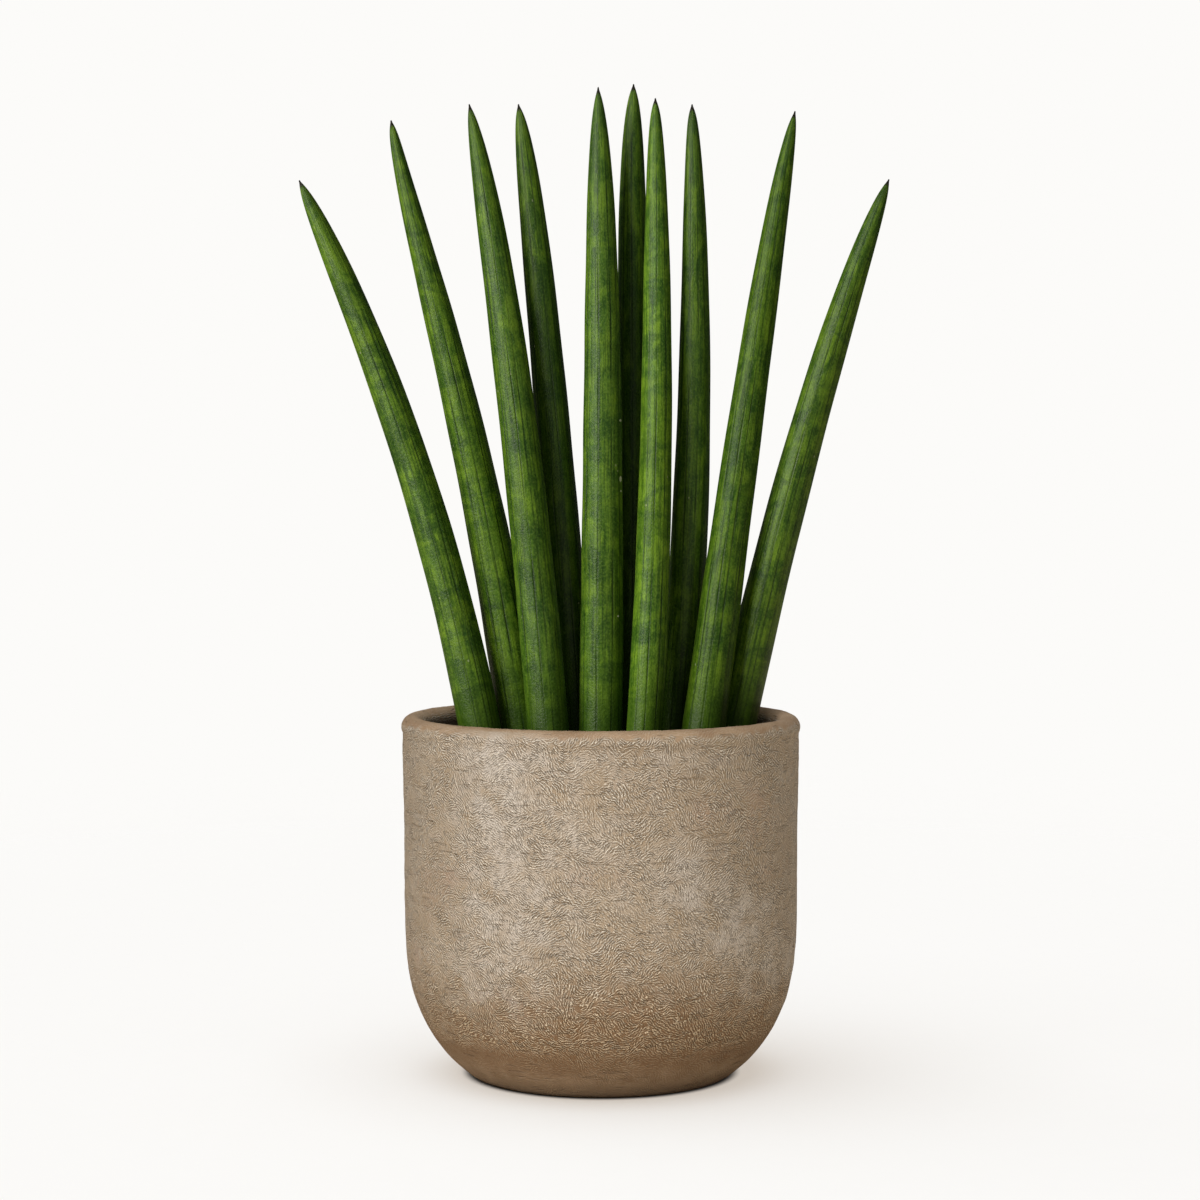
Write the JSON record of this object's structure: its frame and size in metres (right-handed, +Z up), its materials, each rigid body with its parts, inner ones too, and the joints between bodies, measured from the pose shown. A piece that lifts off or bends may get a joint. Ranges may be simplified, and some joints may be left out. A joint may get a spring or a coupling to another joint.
{
  "type": "potted cylindrical snake plant",
  "caption": "Upright succulent with tall, nearly round, pointed leaves fanned in two rows, growing in soil in a round flat-bottomed pot with a thick rolled rim.",
  "frame": {"origin": "centre of the pot's flat underside, which it stands on", "axes": "+Z up along the pot's axis, -Y towards the front row of leaves, +X to the right of the front; the leaves fan out along X"},
  "size_m": [0.293, 0.2, 0.4951],
  "materials": {
    "stoneware": "matte",
    "potting_soil": "matte",
    "leaf": "satin",
    "leaf_bright": "satin",
    "leaf_dark": "satin"
  },
  "bodies": {
    "root": {"pot": "stoneware", "soil": "potting_soil", "leaf_front_far_left": "leaf", "leaf_front_left": "leaf", "leaf_front_centre": "leaf", "leaf_front_mid_right": "leaf_bright", "leaf_front_right": "leaf", "leaf_back_far_left": "leaf", "leaf_back_left": "leaf_dark", "leaf_back_centre": "leaf_dark", "leaf_back_right": "leaf_dark", "leaf_back_far_right": "leaf"}
  },
  "joints": []
}
